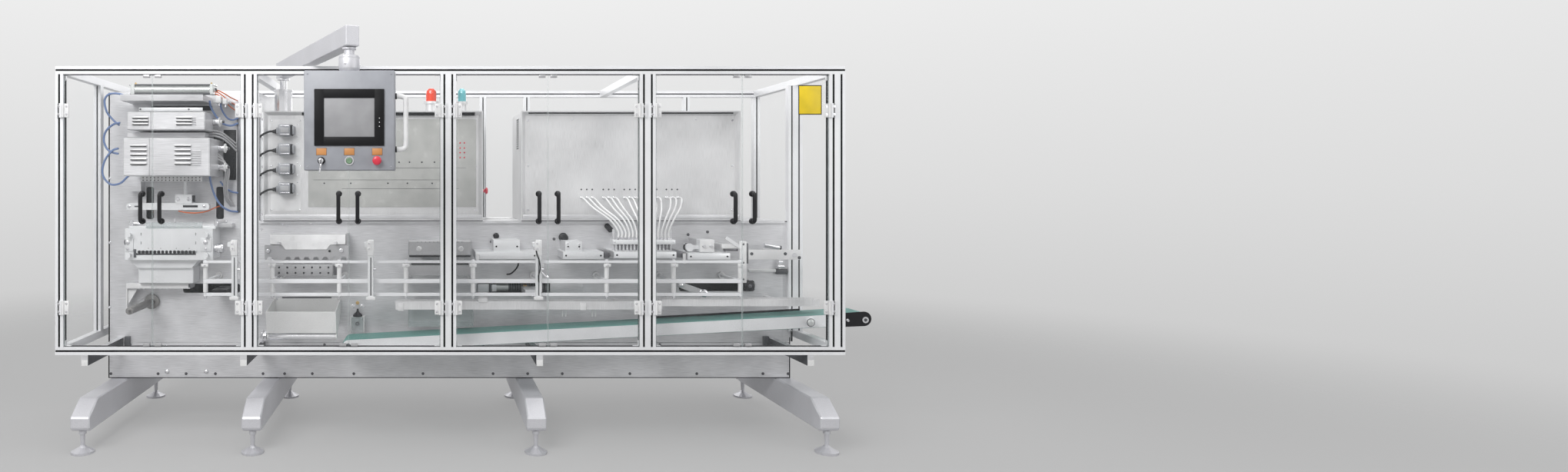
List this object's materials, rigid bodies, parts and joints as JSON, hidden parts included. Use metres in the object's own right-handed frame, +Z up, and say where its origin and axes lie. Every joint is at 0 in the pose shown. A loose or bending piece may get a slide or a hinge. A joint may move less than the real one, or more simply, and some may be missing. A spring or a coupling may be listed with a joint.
{
  "type": "form fill seal machine",
  "caption": "Guarded machine that forms, fills and seals small plastic bottles, with operator panel on a swing arm and outfeed conveyor",
  "frame": {"origin": "on the floor under the middle of the bounding box", "axes": "+X along the machine to the conveyor's end, +Y from the doors to the back, +Z up"},
  "size_m": [4.223, 1.7154, 2.061],
  "materials": {
    "stainless": "brushed stainless sheet",
    "bright": "bright machined steel",
    "profile": "pale anodised profile",
    "clear": "clear sheet",
    "white": "white",
    "black": "black",
    "panel": "grey paint",
    "belt": "teal belt",
    "red": "red",
    "green": "green",
    "lamp_red": "red lens",
    "lamp_teal": "teal lens",
    "jaw": "machined"
  },
  "bodies": {
    "machine": {"machine_housing": "stainless", "face_plate": "stainless", "leg_1": "stainless", "leg_2": "stainless", "leg_3": "stainless", "leg_4": "stainless", "foot_1": "bright", "foot_2": "bright", "foot_3": "bright", "foot_4": "bright", "foot_5": "bright", "foot_6": "bright", "foot_7": "bright", "foot_8": "bright", "guard_front_frame": "profile", "guard_back_frame": "profile", "left_pane": "clear", "right_pane": "clear", "rear_pane": "clear", "arm_post": "stainless", "cabinet_left": "stainless", "cabinet_right": "stainless", "connector_panel": "white", "beacon_red": "lamp_red", "beacon_teal": "lamp_teal", "air_cylinder": "bright", "upper_cover": "stainless", "lower_cover": "stainless", "forming_base": "stainless", "guide_rails": "bright", "outfeed_trays": "stainless", "waste_chute": "stainless", "conveyor_frame": "profile", "conveyor_belt": "belt"},
    "leaf_1": {"door_1": "clear"},
    "leaf_2": {"door_2": "clear"},
    "leaf_3": {"door_3": "clear"},
    "leaf_4": {"door_4": "clear"},
    "leaf_5": {"door_5": "clear"},
    "leaf_6": {"door_6": "clear"},
    "leaf_7": {"door_7": "clear"},
    "leaf_8": {"door_8": "clear"},
    "arm": {"swing_arm": "stainless"},
    "panel": {"operator_box": "panel", "touch_screen": "black"},
    "key": {"key_switch": "black"},
    "start": {"start_button": "green"},
    "stop": {"stop_button": "red"},
    "clamp": {"clamp_bar": "bright"},
    "front_die": {"forming_die": "jaw"},
    "spindle": {"film_spindle": "bright"},
    "carriage": {"feed_carriage": "jaw"},
    "preheat_jaw": {"preheat_press": "jaw"},
    "marking_jaw": {"marking_press": "jaw"},
    "sealing_jaw": {"sealing_press": "jaw"},
    "filler": {"filling_head": "jaw"},
    "cutter": {"cutter_arm": "jaw"},
    "drive_drum": {"drive_pulley": "black"},
    "tail_drum": {"tail_pulley": "black"},
    "roller": {"waste_roller": "bright"}
  },
  "joints": [
    {"name": "door_1_hinge", "type": "hinge", "parent": "machine", "child": "leaf_1", "pos_m": [-2.07, -0.30775, 0.537], "axis": [0, 0, -1], "range_deg": [0, 90]},
    {"name": "door_2_hinge", "type": "hinge", "parent": "machine", "child": "leaf_2", "pos_m": [-1.173, -0.30775, 0.537], "axis": [0, 0, 1], "range_deg": [0, 90]},
    {"name": "door_3_hinge", "type": "hinge", "parent": "machine", "child": "leaf_3", "pos_m": [-1.09, -0.30775, 0.537], "axis": [0, 0, -1], "range_deg": [0, 90]},
    {"name": "door_4_hinge", "type": "hinge", "parent": "machine", "child": "leaf_4", "pos_m": [-0.163, -0.30775, 0.537], "axis": [0, 0, 1], "range_deg": [0, 90]},
    {"name": "door_5_hinge", "type": "hinge", "parent": "machine", "child": "leaf_5", "pos_m": [-0.08, -0.30775, 0.537], "axis": [0, 0, -1], "range_deg": [0, 90]},
    {"name": "door_6_hinge", "type": "hinge", "parent": "machine", "child": "leaf_6", "pos_m": [0.847, -0.30775, 0.537], "axis": [0, 0, 1], "range_deg": [0, 90]},
    {"name": "door_7_hinge", "type": "hinge", "parent": "machine", "child": "leaf_7", "pos_m": [0.93, -0.30775, 0.537], "axis": [0, 0, -1], "range_deg": [0, 90]},
    {"name": "door_8_hinge", "type": "hinge", "parent": "machine", "child": "leaf_8", "pos_m": [1.807, -0.30775, 0.537], "axis": [0, 0, 1], "range_deg": [0, 90]},
    {"name": "arm_swing", "type": "hinge", "parent": "machine", "child": "arm", "pos_m": [-1.0565, 0.26025, 1.97], "axis": [0, 0, 1], "range_deg": [-60, 0]},
    {"name": "panel_swivel", "type": "hinge", "parent": "arm", "child": "panel", "pos_m": [-0.5755, -0.77975, 1.97], "axis": [0, 0, 1], "range_deg": [-90, 90]},
    {"name": "key_turn", "type": "hinge", "parent": "panel", "child": "key", "pos_m": [-0.6935, -0.82975, 1.461], "axis": [0, -1, 0], "range_deg": [0, 90]},
    {"name": "start_press", "type": "slide", "parent": "panel", "child": "start", "axis": [0, 1, 0], "range_m": [0, 0.004], "stiffness_N_per_m": 600, "springref_m": -0.002},
    {"name": "stop_press", "type": "slide", "parent": "panel", "child": "stop", "axis": [0, 1, 0], "range_m": [0, 0.005], "stiffness_N_per_m": 900, "springref_m": -0.002},
    {"name": "clamp_lift", "type": "slide", "parent": "machine", "child": "clamp", "axis": [0, 0, 1], "range_m": [-0.04, 0.05]},
    {"name": "forming_open", "type": "slide", "parent": "machine", "child": "front_die", "axis": [0, -1, 0], "range_m": [0, 0.028]},
    {"name": "spindle_turn", "type": "hinge", "parent": "machine", "child": "spindle", "pos_m": [-1.7845, 0.00025, 0.697], "axis": [0, 1, 0], "continuous": true},
    {"name": "feed_stroke", "type": "slide", "parent": "machine", "child": "carriage", "axis": [1, 0, 0], "range_m": [-0.09, 0.02]},
    {"name": "preheat_close", "type": "slide", "parent": "machine", "child": "preheat_jaw", "axis": [0, -1, 0], "range_m": [0, 0.022]},
    {"name": "marking_close", "type": "slide", "parent": "machine", "child": "marking_jaw", "axis": [0, -1, 0], "range_m": [0, 0.022]},
    {"name": "sealing_close", "type": "slide", "parent": "machine", "child": "sealing_jaw", "axis": [0, -1, 0], "range_m": [0, 0.022]},
    {"name": "filling_lift", "type": "slide", "parent": "machine", "child": "filler", "axis": [0, 0, 1], "range_m": [-0.03, 0]},
    {"name": "cutter_lift", "type": "hinge", "parent": "machine", "child": "cutter", "pos_m": [1.7605, -0.00175, 0.976], "axis": [0, 1, 0], "range_deg": [0, 10]},
    {"name": "drive_turn", "type": "hinge", "parent": "machine", "child": "drive_drum", "pos_m": [2.0775, -0.05975, 0.645], "axis": [0, 1, 0], "continuous": true},
    {"name": "tail_turn", "type": "hinge", "parent": "machine", "child": "tail_drum", "pos_m": [-0.6475, -0.05975, 0.50139], "axis": [0, 1, 0], "continuous": true},
    {"name": "roller_turn", "type": "hinge", "parent": "machine", "child": "roller", "pos_m": [-0.9115, 0.00025, 0.534], "axis": [1, 0, 0], "continuous": true}
  ],
  "couplings": [
    {"joint": "tail_turn", "follows": "drive_turn", "ratio": 1}
  ]
}
